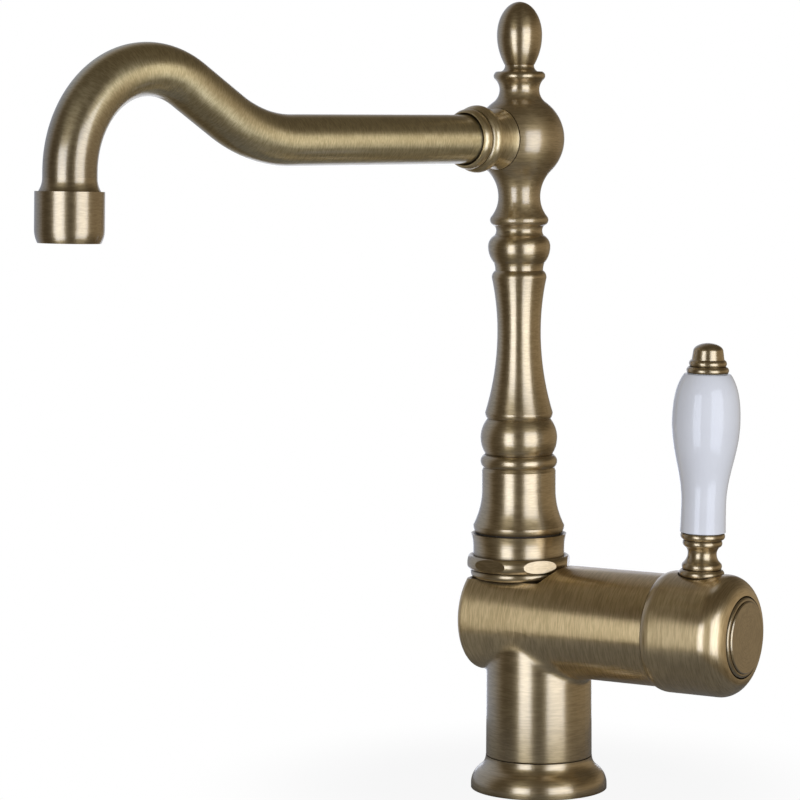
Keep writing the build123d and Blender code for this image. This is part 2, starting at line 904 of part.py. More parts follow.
# Spout tube: level arm, bend up, arch over, short leg down
rise = radians(rise_angle)
tilt = radians(outlet_tilt)
arch_z = ball_z - arch_drop
arch_start = (arch_d - arch_r * sin(rise), arch_z + arch_r * cos(rise))
arch_end = (arch_d + arch_r * cos(tilt), arch_z + arch_r * sin(tilt))
arch_top = (arch_d, arch_z + arch_r)
corner_d = arch_start[0] - (arch_start[1] - ball_z) / tan(rise)
bend_tangent = bend_r * tan(rise / 2)
bend_start = (corner_d - bend_tangent, ball_z)
bend_mid = (bend_start[0] + bend_r * sin(rise / 2), ball_z + bend_r * (1 - cos(rise / 2)))
bend_end = (corner_d + bend_tangent * cos(rise), ball_z + bend_tangent * sin(rise))
tube_end_leg = leg_len - flare_h
tube_end = (arch_end[0] + tube_end_leg * sin(tilt), arch_end[1] - tube_end_leg * cos(tilt))
with BuildPart() as spout_tube:
    with BuildLine(spout_plane) as tube_path:
        Line((tube_start, ball_z), bend_start)
        ThreePointArc(bend_start, bend_mid, bend_end)
        Line(bend_end, arch_start)
        ThreePointArc(arch_start, arch_top, arch_end)
        Line(arch_end, tube_end)
    with BuildSketch(across_spout.offset(tube_start)):
        Circle(tube_r)
    sweep(path=tube_path.wire())
    with BuildSketch(across_spout.offset(tube_start)):
        Circle(tube_bore_r)
    sweep(path=tube_path.wire(), mode=Mode.SUBTRACT)

# Spout end and aerator, turned about the leg; heights run up from the flare's foot
leg_up = Vector(0, 0, 1) * cos(tilt) - spout_out * sin(tilt)
leg_out = spout_out * cos(tilt) + Vector(0, 0, 1) * sin(tilt)
seam_d = arch_end[0] + leg_len * sin(tilt)
seam_z = arch_end[1] - leg_len * cos(tilt)
seam_point = Vector(-column_offset, 0, seam_z) + spout_out * seam_d
leg_plane = Plane(seam_point, x_dir=leg_out, z_dir=spout_side)
leg_axis = Axis(seam_point, leg_up)
with BuildPart() as spout_outlet:
    with BuildSketch(leg_plane):
        with BuildLine():
            Polyline(
                (flare_r, 0),
                (outlet_thread_r, 0),
                (outlet_thread_r, -outlet_thread_len),
                (insert_bore_r, -outlet_thread_len),
                (insert_bore_r, flare_h + outlet_spigot_len),
                (tube_bore_r - fit_gap, flare_h + outlet_spigot_len),
                (tube_bore_r - fit_gap, flare_h),
                (tube_r, flare_h),
            )
            TangentArc((tube_r, flare_h), (flare_r, 0), tangent=(0, -1))
        make_face()
    revolve(axis=leg_axis)

washer_z = -outlet_thread_len - aerator_washer_t
screen_z = aerator_lip_h - aerator_len
insert_foot = screen_z + screen_t
aerator_bore_r = outlet_thread_r + fit_gap
with BuildPart() as aerator_housing:
    with BuildSketch(leg_plane):
        with BuildLine():
            Polyline(
                (aerator_mouth_r, -aerator_len),
                (aerator_lip_r, -aerator_len),
                (aerator_lip_r, screen_z),
                (aerator_bore_r, screen_z),
                (aerator_bore_r, 0),
                (aerator_r, 0),
                (aerator_r, aerator_taper_h - aerator_len),
            )
            TangentArc(
                (aerator_r, aerator_taper_h - aerator_len),
                (aerator_mouth_r, -aerator_len),
                tangent=(0, -1),
            )
        make_face()
    revolve(axis=leg_axis)

aerator_washer = ring_of(
    leg_plane, leg_axis, insert_bore_r, outlet_thread_r - fit_gap, washer_z, -outlet_thread_len
)
aerator_insert = turned(
    leg_plane,
    leg_axis,
    (insert_bore_r, insert_foot),
    (insert_foot_r, insert_foot),
    (insert_foot_r, washer_z - insert_flange_h),
    (outlet_thread_r - fit_gap, washer_z - insert_flange_h),
    (outlet_thread_r - fit_gap, washer_z),
    (insert_bore_r, washer_z),
)
screen_plane = Plane(leg_plane.from_local_coords((0, screen_z, 0)), x_dir=leg_out, z_dir=leg_up)
with BuildPart() as aerator_screen:
    with BuildSketch(screen_plane):
        Circle(aerator_bore_r - fit_gap)
        Circle(screen_hole_r, mode=Mode.SUBTRACT)
        for ring in range(1, screen_rings + 1):
            with PolarLocations(ring * screen_pitch, ring * screen_first_ring):
                Circle(screen_hole_r, mode=Mode.SUBTRACT)
    extrude(amount=screen_t)

# Cartridge base: ports, seal pockets and locating pegs
with BuildPart() as cartridge_base:
    with BuildSketch(across_barrel(chamber_floor)):
        Circle(chamber_r - fit_gap)
    extrude(amount=base_t)
    with BuildSketch(across_barrel(chamber_floor)):
        with Locations(*pegs):
            Circle(peg_r)
    extrude(amount=-peg_len)
    with BuildSketch(across_barrel(chamber_floor)):
        with Locations(outlet_port, *inlet_ports):
            Circle(port_r)
    extrude(amount=base_t, mode=Mode.SUBTRACT)
    with BuildSketch(across_barrel(chamber_floor)):
        with Locations(outlet_port, *inlet_ports):
            Circle(port_r + seal_w)
    extrude(amount=seal_t, mode=Mode.SUBTRACT)

with BuildPart() as base_seals:
    with BuildSketch(across_barrel(chamber_floor)):
        with Locations(outlet_port, *inlet_ports):
            Circle(port_r + seal_w - fit_gap)
            Circle(port_r, mode=Mode.SUBTRACT)
    extrude(amount=seal_t)

# Ceramic discs
disc_seam = base_front + fixed_disc_t
coupler_back = disc_seam + moving_disc_t
coupler_front = coupler_back + coupler_t
with BuildPart() as fixed_disc:
    with BuildSketch(across_barrel(base_front)):
        Circle(fixed_disc_r)
        with Locations(outlet_port, *inlet_ports):
            Circle(port_r, mode=Mode.SUBTRACT)
    extrude(amount=fixed_disc_t)

with BuildPart() as moving_disc:
    with BuildSketch(across_barrel(disc_seam)):
        Circle(moving_disc_r)
    extrude(amount=moving_disc_t)
    with BuildSketch(across_barrel(disc_seam)):
        Circle(mixing_pocket_r)
    extrude(amount=mixing_pocket_depth, mode=Mode.SUBTRACT)

# Coupler: carries the moving disc and takes the spindle's tip in a pocket
tip_x = pivot_x - spindle_arm
pocket_back = tip_x - spindle_tip_r - moving_gap
with BuildPart() as disc_coupler:
    with BuildSketch(across_barrel(coupler_back)):
        Circle(coupler_r)
    extrude(amount=coupler_t)
    with BuildSketch(across_barrel(pocket_back)):
        Rectangle(spindle_w + 2 * moving_gap, 2 * (spindle_tip_r + spindle_gap))
    extrude(amount=coupler_front - pocket_back, mode=Mode.SUBTRACT)

# Housing: shell round the discs and the carrier, with a lid that lets the carrier's neck out
lid_back = housing_front - housing_lid_t
cartridge_housing = turned(
    barrel_plane,
    barrel_axis,
    (base_front, housing_bore_r),
    (base_front, chamber_r - fit_gap),
    (housing_front, chamber_r - fit_gap),
    (housing_front, carrier_neck_r + running_gap),
    (lid_back, carrier_neck_r + running_gap),
    (lid_back, housing_bore_r),
)

with BuildPart() as cartridge_nut:
    with BuildSketch(across_barrel(housing_front)):
        Circle(nut_thread_r - fit_gap)
        Circle(nut_bore_r, mode=Mode.SUBTRACT)
    extrude(amount=nut_len)
    with BuildSketch(across_barrel(housing_front + nut_len)):
        with PolarLocations(nut_thread_r, nut_notches):
            Rectangle(nut_notch_len * 2, nut_notch_w)
    extrude(amount=-nut_notch_depth, mode=Mode.SUBTRACT)

# Carrier: turns in the housing and holds the spindle's pin, with a slot for the spindle's swing
swing = radians(tilt_max)
carrier_back = coupler_front + coupler_gap
carrier_shoulder = lid_back - running_gap
carrier_front = housing_front + carrier_neck_out
slot_half = spindle_w / 2 + spindle_gap
slot_mid = slot_half / cos(swing)
with BuildPart() as spindle_carrier:
    with BuildSketch(across_barrel(carrier_back)):
        Circle(carrier_r)
    extrude(amount=carrier_shoulder - carrier_back)
    with BuildSketch(across_barrel(carrier_shoulder)):
        Circle(carrier_neck_r)
    extrude(amount=carrier_front - carrier_shoulder)
    with BuildSketch(barrel_plane):
        with BuildLine():
            Polyline(
                (carrier_back, -slot_half),
                (pivot_x, -slot_mid),
                (carrier_front, -slot_mid - (carrier_front - pivot_x) * tan(swing)),
                (carrier_front, slot_half),
                (pivot_x, slot_mid),
                (carrier_back, slot_mid + (pivot_x - carrier_back) * tan(swing)),
                close=True,
            )
        make_face()
    extrude(amount=spindle_w / 2 + spindle_gap, both=True, mode=Mode.SUBTRACT)
    with BuildSketch(Plane((pivot_x, 0, barrel_height), x_dir=(1, 0, 0), z_dir=(0, 1, 0))):
        Circle(pivot_r + fit_gap)
    extrude(amount=carrier_r, both=True, mode=Mode.SUBTRACT)

with BuildPart() as pivot_pin:
    with BuildSketch(Plane((pivot_x, 0, barrel_height), x_dir=(1, 0, 0), z_dir=(0, 1, 0))):
        Circle(pivot_r)
    extrude(amount=pivot_len / 2, both=True)

# Spindle: square bar on the pivot pin, with a thin arm and a round tip behind it
hub_back = cap_back + hub_back_gap
spindle_front = barrel_front + spindle_end
with BuildPart() as lever_spindle:
    with BuildSketch(barrel_plane):
        with BuildLine():
            arm_half = spindle_arm_h / 2
            body_half = spindle_w / 2
            arm_root = pivot_x - body_half
            Polyline(
                (tip_x, -arm_half),
                (arm_root, -arm_half),
                (arm_root, -body_half),
                (spindle_front, -body_half),
                (spindle_front, body_half),
                (arm_root, body_half),
                (arm_root, arm_half),
                (tip_x, arm_half),
                close=True,
            )
        make_face()
        with Locations((tip_x, 0)):
            Circle(spindle_tip_r)
    extrude(amount=spindle_w / 2, both=True)
    with BuildSketch(Plane((pivot_x, 0, barrel_height), x_dir=(1, 0, 0), z_dir=(0, 1, 0))):
        Circle(pivot_r + running_gap)
    extrude(amount=spindle_w, both=True, mode=Mode.SUBTRACT)
    with BuildSketch(across_barrel(spindle_front)):
        Circle(screw_r + fit_gap)
    extrude(amount=-screw_grip - fit_gap, mode=Mode.SUBTRACT)

# Handle cap: shell that swings over the barrel's end, with a hub for the spindle and a lever boss
cap_mouth_r = barrel_r + cap_swing_gap
cap_wall_back = cap_floor - cap_front_wall
cap_round_x = cap_front - sqrt(cap_round**2 - (cap_round - cap_rim_w) ** 2)
with BuildPart() as handle_cap:
    with BuildSketch(barrel_plane):
        with BuildLine():
            Polyline(
                (cap_front, cap_recess_r),
                (cap_floor, cap_recess_r),
                (cap_floor, 0),
                (hub_back, 0),
                (hub_back, hub_r),
                (cap_wall_back, hub_r),
                (cap_wall_back, cap_cavity_r),
                (cap_back + cap_mouth_len, cap_cavity_r),
                (cap_back + cap_mouth_len, cap_mouth_r),
                (cap_back, cap_mouth_r),
                (cap_back, cap_mouth_r + cap_lip_t),
            )
            TangentArc(
                (cap_back, cap_mouth_r + cap_lip_t),
                (cap_back + cap_bevel_len, cap_r),
                tangent=(-1, 0),
                tangent_from_first=False,
            )
            Line((cap_back + cap_bevel_len, cap_r), (cap_round_x, cap_r))
            TangentArc((cap_round_x, cap_r), (cap_front, cap_recess_r), tangent=(1, 0))
        make_face()
    revolve(axis=barrel_axis)
    # Boss from the hub to the wall, flat seat and threaded hole for the lever
    with BuildSketch(Plane((post_x, 0, barrel_height), x_dir=lever_plane.x_dir, z_dir=lever_up)):
        Circle(boss_r)
    extrude(amount=cap_cavity_r)
    with BuildSketch(
        Plane(lever_plane.from_local_coords((0, post_seat, 0)), x_dir=lever_plane.x_dir, z_dir=lever_up)
    ) as seat_sketch:
        Circle(post_seat_r)
    extrude(amount=cap_r, mode=Mode.SUBTRACT)
    with BuildSketch(
        Plane(lever_plane.from_local_coords((0, post_seat, 0)), x_dir=lever_plane.x_dir, z_dir=lever_up)
    ):
        Circle(rod_r + fit_gap)
    extrude(amount=-rod_grip - fit_gap, mode=Mode.SUBTRACT)
    # Square socket for the spindle and stepped hole for its screw
    with BuildSketch(across_barrel(hub_back)):
        Rectangle(spindle_w + 2 * fit_gap, spindle_w + 2 * fit_gap)
    extrude(amount=spindle_front + fit_gap - hub_back, mode=Mode.SUBTRACT)
    with BuildSketch(across_barrel(cap_floor)):
        Circle(screw_r + fit_gap)
    extrude(amount=spindle_front - cap_floor, mode=Mode.SUBTRACT)
    with BuildSketch(across_barrel(cap_floor)):
        Circle(screw_head_r + fit_gap)
    extrude(amount=-screw_head_h, mode=Mode.SUBTRACT)

with BuildPart() as handle_screw:
    with BuildSketch(across_barrel(cap_floor - screw_head_h)):
        Circle(screw_head_r)
    extrude(amount=screw_head_h)
    with BuildSketch(across_barrel(spindle_front - screw_grip)):
        Circle(screw_r)
    extrude(amount=cap_floor - screw_head_h - spindle_front + screw_grip)
    with BuildSketch(across_barrel(cap_floor)):
        RegularPolygon(screw_key_w / 2, key_sides, major_radius=False)
    extrude(amount=-screw_key_depth, mode=Mode.SUBTRACT)

# Index button: bevelled ring in the cap's recess with a plain disc in it
bezel_edge = cap_floor + bezel_edge_h
bezel_front = bezel_edge + bezel_rise
index_back = bezel_front - bezel_seat_depth
with BuildPart() as index_bezel:
    with BuildSketch(barrel_plane):
        with BuildLine():
            Polyline(
                (bezel_front, index_r + fit_gap),
                (index_back, index_r + fit_gap),
                (index_back, screw_head_r),
                (cap_floor, screw_head_r),
                (cap_floor, bezel_r),
                (bezel_edge, bezel_r),
            )
            TangentArc(
                (bezel_edge, bezel_r), (bezel_front, index_r + fit_gap), tangent=(1, 0)
            )
        make_face()
    revolve(axis=barrel_axis)

index_front = bezel_front + index_rise
index_disc = turned(
    barrel_plane,
    barrel_axis,
    (index_back, 0),
    (index_back, index_r),
    (index_front - index_edge, index_r),
    (index_front, index_r - index_edge),
    (index_front, 0),
)

# Lever post: turned foot, waist and top rings, bored for the rod
post_step_y = post_seat + post_foot_h
post_waist_foot = post_step_y + post_step_h
post_waist_y = post_waist_foot + post_waist_low_h
post_ring_y = post_waist_y + post_waist_high_h
post_top_y = post_ring_y + post_ring_h
post_end = post_top_y + post_top_h
with BuildPart() as lever_post:
    with BuildSketch(lever_plane):
        with BuildLine():
            Polyline(
                (post_top_r - post_inset, post_end),
                (rod_r + fit_gap, post_end),
                (rod_r + fit_gap, post_seat),
                (post_foot_r - post_inset, post_seat),
            )
            ThreePointArc(
                (post_foot_r - post_inset, post_seat),
                (post_foot_r, post_seat + post_foot_h / 2),
                (post_step_r - post_inset, post_step_y),
            )
            ThreePointArc(
                (post_step_r - post_inset, post_step_y),
                (post_step_r, post_step_y + post_step_h / 2),
                (post_step_r - post_inset, post_waist_foot),
            )
            TangentArc(
                (post_step_r - post_inset, post_waist_foot),
                (post_waist_r, post_waist_y),
                tangent=(0, -1),
                tangent_from_first=False,
            )
            TangentArc(
                (post_waist_r, post_waist_y), (post_ring_r - post_inset, post_ring_y), tangent=(0, 1)
            )
            ThreePointArc(
                (post_ring_r - post_inset, post_ring_y),
                (post_ring_r, post_ring_y + post_ring_h / 2),
                (post_ring_r - post_inset, post_top_y),
            )
            ThreePointArc(
                (post_ring_r - post_inset, post_top_y),
                (post_top_r, post_top_y + post_top_peak),
                (post_top_r - post_inset, post_end),
            )
        make_face()
    revolve(axis=lever_axis)

# Porcelain grip between two washers
grip_z = post_end + washer_t
grip_neck_y = grip_z + grip_neck_h
grip_belly_y = grip_neck_y + grip_belly_h
grip_end = grip_belly_y + grip_shoulder_h
with BuildPart() as porcelain_grip:
    with BuildSketch(lever_plane):
        with BuildLine():
            Polyline(
                (grip_top_r, grip_end),
                (grip_bore_r, grip_end),
                (grip_bore_r, grip_z),
                (grip_foot_r, grip_z),
            )
            TangentArc(
                (grip_foot_r, grip_z),
                (grip_neck_r, grip_neck_y),
                tangent=(0, -1),
                tangent_from_first=False,
            )
            Spline(
                (grip_neck_r, grip_neck_y),
                (grip_belly_r, grip_belly_y),
                tangents=[(0, 1), (0, 1)],
            )
            Spline(
                (grip_belly_r, grip_belly_y),
                (grip_top_r, grip_end),
                tangents=[(0, 1), (-1, grip_shoulder_slope)],
            )
        make_face()
    revolve(axis=lever_axis)

with BuildPart() as grip_washers:
    with BuildSketch(lever_plane):
        for washer_y in (post_end, grip_end):
            with Locations((grip_bore_r, washer_y)):
                Rectangle(washer_r - grip_bore_r, washer_t, align=(Align.MIN, Align.MIN))
    revolve(axis=lever_axis)

# End cap: two rings and a dome on the rod's end
end_z = grip_end + washer_t
end_step_y = end_z + end_ring_h
end_dome_y = end_step_y + end_step_h
end_top = end_dome_y + end_dome_h
dome_edge_y = end_dome_y + end_dome_edge_h
dome_edge_r = end_dome_r - end_dome_taper
rod_top = end_dome_y + rod_end
with BuildPart() as grip_end_cap:
    with BuildSketch(lever_plane):
        with BuildLine():
            Polyline(
                (0, end_top),
                (0, rod_top + fit_gap),
                (rod_r + fit_gap, rod_top + fit_gap),
                (rod_r + fit_gap, end_z),
                (end_ring_r - end_inset, end_z),
            )
            ThreePointArc(
                (end_ring_r - end_inset, end_z),
                (end_ring_r, end_z + end_ring_h / 2),
                (end_step_r - end_inset, end_step_y),
            )
            ThreePointArc(
                (end_step_r - end_inset, end_step_y),
                (end_step_r, end_step_y + end_step_h / 2),
                (end_dome_r, end_dome_y),
            )
            Line((end_dome_r, end_dome_y), (dome_edge_r, dome_edge_y))
            Bezier(
                (dome_edge_r, dome_edge_y),
                (dome_edge_r, end_top),
                (0, end_top),
                weights=quarter_ellipse,
            )
        make_face()
    revolve(axis=lever_axis)

lever_rod = turned(
    lever_plane,
    lever_axis,
    (0, post_seat - rod_grip),
    (rod_r, post_seat - rod_grip),
    (rod_r, rod_top),
    (0, rod_top),
)

pieces = {
    "base_flange": base_flange,
    "base_gasket": base_gasket,
    "mixer_body": mixer_body,
    "swivel_socket": swivel_socket,
    "socket_seal": socket_seal,
    "swivel_collar": swivel_collar,
    "slip_ring": slip_ring,
    "retaining_screw": retaining_screw,
    "swivel_spigot": swivel_spigot,
    "swivel_orings": swivel_orings,
    "column": column,
    "column_oring": column_oring,
    "ball_head": ball_head,
    "finial": finial,
    "union_socket": union_socket,
    "union_oring": union_oring,
    "union_nut": union_nut,
    "spout_tube": spout_tube,
    "spout_outlet": spout_outlet,
    "aerator_housing": aerator_housing,
    "aerator_washer": aerator_washer,
    "aerator_insert": aerator_insert,
    "aerator_screen": aerator_screen,
    "cartridge_base": cartridge_base,
    "base_seals": base_seals,
    "fixed_disc": fixed_disc,
    "moving_disc": moving_disc,
    "disc_coupler": disc_coupler,
    "cartridge_housing": cartridge_housing,
    "cartridge_nut": cartridge_nut,
    "spindle_carrier": spindle_carrier,
    "pivot_pin": pivot_pin,
    "lever_spindle": lever_spindle,
    "handle_cap": handle_cap,
    "handle_screw": handle_screw,
    "index_bezel": index_bezel,
    "index_disc": index_disc,
    "lever_post": lever_post,
    "porcelain_grip": porcelain_grip,
    "grip_washers": grip_washers,
    "grip_end_cap": grip_end_cap,
    "lever_rod": lever_rod,
}
os.makedirs("parts", exist_ok=True)
for name, piece in pieces.items():
    piece.part.label = name
    export_step(piece.part, f"parts/{name}.step")
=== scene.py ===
from math import cos, pi, radians, sin, tan

import bmesh
import bpy
from mathutils import Euler, Matrix, Vector


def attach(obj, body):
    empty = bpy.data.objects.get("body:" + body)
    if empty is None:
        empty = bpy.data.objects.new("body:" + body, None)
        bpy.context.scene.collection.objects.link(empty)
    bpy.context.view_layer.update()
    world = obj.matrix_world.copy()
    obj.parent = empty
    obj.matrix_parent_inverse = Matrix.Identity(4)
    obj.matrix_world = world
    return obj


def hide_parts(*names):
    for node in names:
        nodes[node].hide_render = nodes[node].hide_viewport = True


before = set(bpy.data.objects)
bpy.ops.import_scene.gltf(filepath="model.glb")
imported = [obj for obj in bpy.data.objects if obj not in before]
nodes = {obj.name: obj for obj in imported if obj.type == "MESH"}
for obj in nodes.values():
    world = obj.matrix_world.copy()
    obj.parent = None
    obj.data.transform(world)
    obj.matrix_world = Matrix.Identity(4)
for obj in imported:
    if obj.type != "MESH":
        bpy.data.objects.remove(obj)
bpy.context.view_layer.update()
scene = bpy.context.scene
print("frame:", len(nodes), "nodes")

# axes of the tap, in metres
tap = dict(columnBack=0.010, barrelHeight=0.072, ballHeight=0.274, spoutHeading=radians(-101.6))


class Wire:
    # a socket that can be used in sums: every operator adds one Math node
    def __init__(self, graph, socket):
        self.graph = graph
        self.socket = socket

    def math(self, operation, *others):
        terms = dict(enumerate((self, *others)))
        return self.graph.add("ShaderNodeMath", {"operation": operation}, terms)

    def part(self, name):
        return Wire(self.graph, self.socket.node.outputs[name])

    def __add__(self, other):
        return self.math("ADD", other)

    def __sub__(self, other):
        return self.math("SUBTRACT", other)

    def __mul__(self, other):
        return self.math("MULTIPLY", other)

    def __truediv__(self, other):
        return self.math("DIVIDE", other)

    def __rsub__(self, other):
        return self.graph.add("ShaderNodeMath", {"operation": "SUBTRACT"}, {0: other, 1: self})

    __radd__ = __add__
    __rmul__ = __mul__


class Graph:
    def __init__(self, tree):
        self.tree = tree
        tree.nodes.clear()

    def add(self, kind, settings=None, values=None, output=0):
        node = self.tree.nodes.new(kind)
        for name, value in (settings or {}).items():
            setattr(node, name, value)
        for name, value in (values or {}).items():
            if isinstance(value, Wire):
                self.tree.links.new(value.socket, node.inputs[name])
            else:
                node.inputs[name].default_value = value
        return Wire(self, node.outputs[output]) if node.outputs else None

    def between(self, value, low, high, toLow=0.0, toHigh=1.0):
        limits = {"From Min": low, "From Max": high, "To Min": toLow, "To Max": toHigh}
        settings = {"interpolation_type": "SMOOTHSTEP"}
        return self.add("ShaderNodeMapRange", settings, {"Value": value, **limits})

    def blend(self, factor, first, second):
        return self.add("ShaderNodeMix", {"data_type": "RGBA"}, {0: factor, 6: first, 7: second}, 2)

    def mixShader(self, factor, first, second):
        return self.add("ShaderNodeMixShader", None, {0: factor, 1: first, 2: second})

    def vector(self, x, y, z):
        return self.add("ShaderNodeCombineXYZ", None, {0: x, 1: y, 2: z})

    def split(self, vector):
        return self.add("ShaderNodeSeparateXYZ", None, {0: vector})

    def dot(self, first, second):
        settings = {"operation": "DOT_PRODUCT"}
        return self.add("ShaderNodeVectorMath", settings, {0: first, 1: second}, "Value")

    def objectPoint(self):
        return self.add("ShaderNodeTexCoord", output="Object")

    def noise(self, vector, scale, detail):
        values = {"Vector": vector, "Scale": scale, "Detail": detail}
        return self.add("ShaderNodeTexNoise", None, values)

    def bump(self, distance, height):
        return self.add("ShaderNodeBump", None, {"Distance": distance, "Height": height})

    def attribute(self, name, output="Fac"):
        return self.add("ShaderNodeAttribute", {"attribute_name": name}, output=output)

    # the rest are for Geometry Nodes
    def store(self, geometry, name, value, kind="FLOAT", domain="POINT"):
        settings = {"data_type": kind, "domain": domain}
        values = {"Geometry": geometry, "Name": name, "Value": value}
        return self.add("GeometryNodeStoreNamedAttribute", settings, values)

    def circle(self, sides, radius):
        values = {"Resolution": sides, "Radius": radius}
        return self.add("GeometryNodeCurvePrimitiveCircle", None, values)

    def evenSteps(self, curve, step):
        values = {"Curve": curve, "Length": step}
        return self.add("GeometryNodeResampleCurve", {"mode": "LENGTH"}, values)

    def sweep(self, curve, profile, caps=True):
        values = {"Curve": curve, "Profile Curve": profile, "Fill Caps": caps}
        return self.add("GeometryNodeCurveToMesh", None, values)

    def join(self, first, second):
        both = self.add("GeometryNodeJoinGeometry", None, {"Geometry": first})
        self.tree.links.new(second.socket, both.socket.node.inputs["Geometry"])
        return both


def rgb(red, green, blue):
    return (red, green, blue, 1.0)


def newFinish(name):
    material = bpy.data.materials.new(name)
    material.use_nodes = True
    return material, Graph(material.node_tree)


def showSurface(graph, surface):
    graph.add("ShaderNodeOutputMaterial", None, {"Surface": surface})


def dress(material, *names):
    for name in names:
        nodes[name].data.materials.clear()
        nodes[name].data.materials.append(material)


pureWhite = rgb(1, 1, 1)

# camera at the photo's angle
camera = dict(
    place=(0.638, -1.127, 0.2784), down=5.02, heading=32.11, roll=-0.1, lens=139.08, clipStart=0.05,
)
cameraData = bpy.data.cameras.new("photoCamera")
cameraData.lens = camera["lens"]
cameraData.clip_start = camera["clipStart"]
cameraObject = bpy.data.objects.new("photoCamera", cameraData)
turnUp = Matrix.Rotation(radians(90 - camera["down"]), 4, "X")
turnRound = Matrix.Rotation(radians(camera["heading"]), 4, "Z")
turnRoll = Matrix.Rotation(radians(camera["roll"]), 4, "Z")
cameraObject.matrix_world = Matrix.Translation(camera["place"]) @ turnRound @ turnUp @ turnRoll
scene.collection.objects.link(cameraObject)
scene.camera = cameraObject
scene.view_settings.view_transform = "Standard"
print("camera: lens", camera["lens"])

# softboxes: azimuth from +X in degrees, distance, height of the middle, width, height, brightness
softboxes = [
    dict(name="frontLeft", azimuth=-90.5, distance=0.92, middle=0.12,
         width=0.43, height=0.78, glow=2.8),
    dict(name="frontRight", azimuth=-23.5, distance=0.94, middle=0.15,
         width=0.68, height=0.92, glow=2.28),
    dict(name="behind", azimuth=121, distance=0.95, middle=0.3,
         width=0.6, height=0.5, glow=0.45),
    dict(name="behindLow", azimuth=121, distance=0.95, middle=-0.16,
         width=0.6, height=0.42, glow=1.0),
]
lampTint = (0.92, 1.0, 1.19)
for box in softboxes:
    lampData = bpy.data.lights.new(box["name"], "AREA")
    lampData.shape = "RECTANGLE"
    lampData.size = box["width"]
    lampData.size_y = box["height"]
    lampData.color = lampTint
    lampData.energy = box["glow"] * pi * box["width"] * box["height"]
    lamp = bpy.data.objects.new(box["name"], lampData)
    angle = radians(box["azimuth"])
    lamp.location = (box["distance"] * cos(angle), box["distance"] * sin(angle), box["middle"])
    lamp.rotation_euler = (radians(90), 0, angle + radians(90))
    lamp.visible_camera = False
    scene.collection.objects.link(lamp)

# white to the camera; the metal sees a dim room, a glow at the right and a paler sweep behind
room = dict(
    dim=0.082, tint=rgb(1.16, 0.96, 0.68), matt=0.19,
    glow=0.25, glowAzimuth=radians(38), glowEdge=(0.1, 0.9), glowBand=(0.08, 0.5),
    sweep=0.42, sweepAzimuth=radians(160), sweepRise=radians(10), sweepEdge=(0.5, 0.92),
    sweepTint=rgb(0.88, 0.97, 1.2),
)
world = bpy.data.worlds.new("studio")
world.use_nodes = True
scene.world = world
graph = Graph(world.node_tree)
lightPath = graph.add("ShaderNodeLightPath", output="Is Camera Ray")
direction = graph.add("ShaderNodeTexCoord", output="Generated")


def towards(azimuth, rise, low, high):
    side = (cos(azimuth) * cos(rise), sin(azimuth) * cos(rise), sin(rise))
    return graph.between(graph.dot(direction, side), low, high)


seen = lightPath.math("MAXIMUM", lightPath.part("Is Transmission Ray"))
sweep = towards(room["sweepAzimuth"], room["sweepRise"], *room["sweepEdge"])
sweep = sweep * lightPath.part("Is Glossy Ray")
height = graph.split(direction).part("Z").math("ABSOLUTE")
band = graph.between(height, *room["glowBand"], 1.0, 0.0)
fill = room["dim"] + towards(room["glowAzimuth"], 0.0, *room["glowEdge"]) * band * room["glow"]
fill = fill + lightPath.part("Is Diffuse Ray") * room["matt"]
shade = graph.blend(lightPath.part("Is Diffuse Ray"), room["tint"], pureWhite)
shade = graph.blend(sweep, shade, room["sweepTint"])
strength = (1 - sweep) * fill + sweep * room["sweep"]
backdrop = {
    "Color": graph.blend(seen, shade, pureWhite),
    "Strength": seen + (1 - seen) * strength,
}
background = graph.add("ShaderNodeBackground", None, backdrop)
graph.add("ShaderNodeOutputWorld", None, {"Surface": background})

floor = dict(
    radius=0.16, sides=96, drop=0.0001, paper=rgb(0.3, 0.3, 0.3), shadow=0.08, mirrored=0.02,
    clear=0.06,
)
floorMesh = bpy.data.meshes.new("floor")
floorShape = bmesh.new()
bmesh.ops.create_circle(
    floorShape, cap_ends=True, segments=floor["sides"], radius=floor["radius"]
)
bmesh.ops.translate(floorShape, verts=floorShape.verts, vec=(0, 0, -floor["drop"]))
floorShape.to_mesh(floorMesh)
floorShape.free()
floorObject = bpy.data.objects.new("floor", floorMesh)
scene.collection.objects.link(floorObject)
floorFinish, graph = newFinish("floorPaper")
lightPath = graph.add("ShaderNodeLightPath", output="Is Camera Ray")
paper = graph.add("ShaderNodeBsdfDiffuse", None, {"Color": floor["paper"]})
blank = graph.add("ShaderNodeEmission", None, {"Color": pureWhite, "Strength": 1.0})
middle = graph.add(
    "ShaderNodeVectorMath", {"operation": "LENGTH"}, {0: graph.objectPoint()}, "Value"
)
# the shadow fades out to the rim
shadow = graph.between(middle, floor["clear"], floor["radius"], floor["shadow"], 0.0)
share = lightPath * (1 - shadow) + lightPath.part("Is Glossy Ray") * floor["mirrored"]
showSurface(graph, graph.mixShader(share, paper, blank))
floorMesh.materials.append(floorFinish)
print("stage:", len(softboxes), "softboxes")

# brushed antique bronze, one finish for each turning axis; pitches and reach in metres
bronze = dict(
    light=(0.59, 0.445, 0.225),
    deep=(0.445, 0.325, 0.15),
    patina=rgb(0.07, 0.046, 0.023),
    patinaReach=0.0022,
    patinaEdge=(0.35, 0.95),
    patinaShare=0.85,
    patinaRough=0.2,
    lacquer=0.9,
    lacquerRough=0.2,
    lacquerIor=2.1,
    finePitch=0.00032,
    broadPitch=0.00075,
    cloudPitch=0.011,
    streak=3.0,
    markRough=0.55,
    toneMix=(0.35, 0.45, 0.2),     # fine marks, broad marks, cloud
    toneEdge=(0.4, 0.6),
    heightMix=(0.45, 0.55),        # fine marks, broad marks
    broadRough=0.16,
)
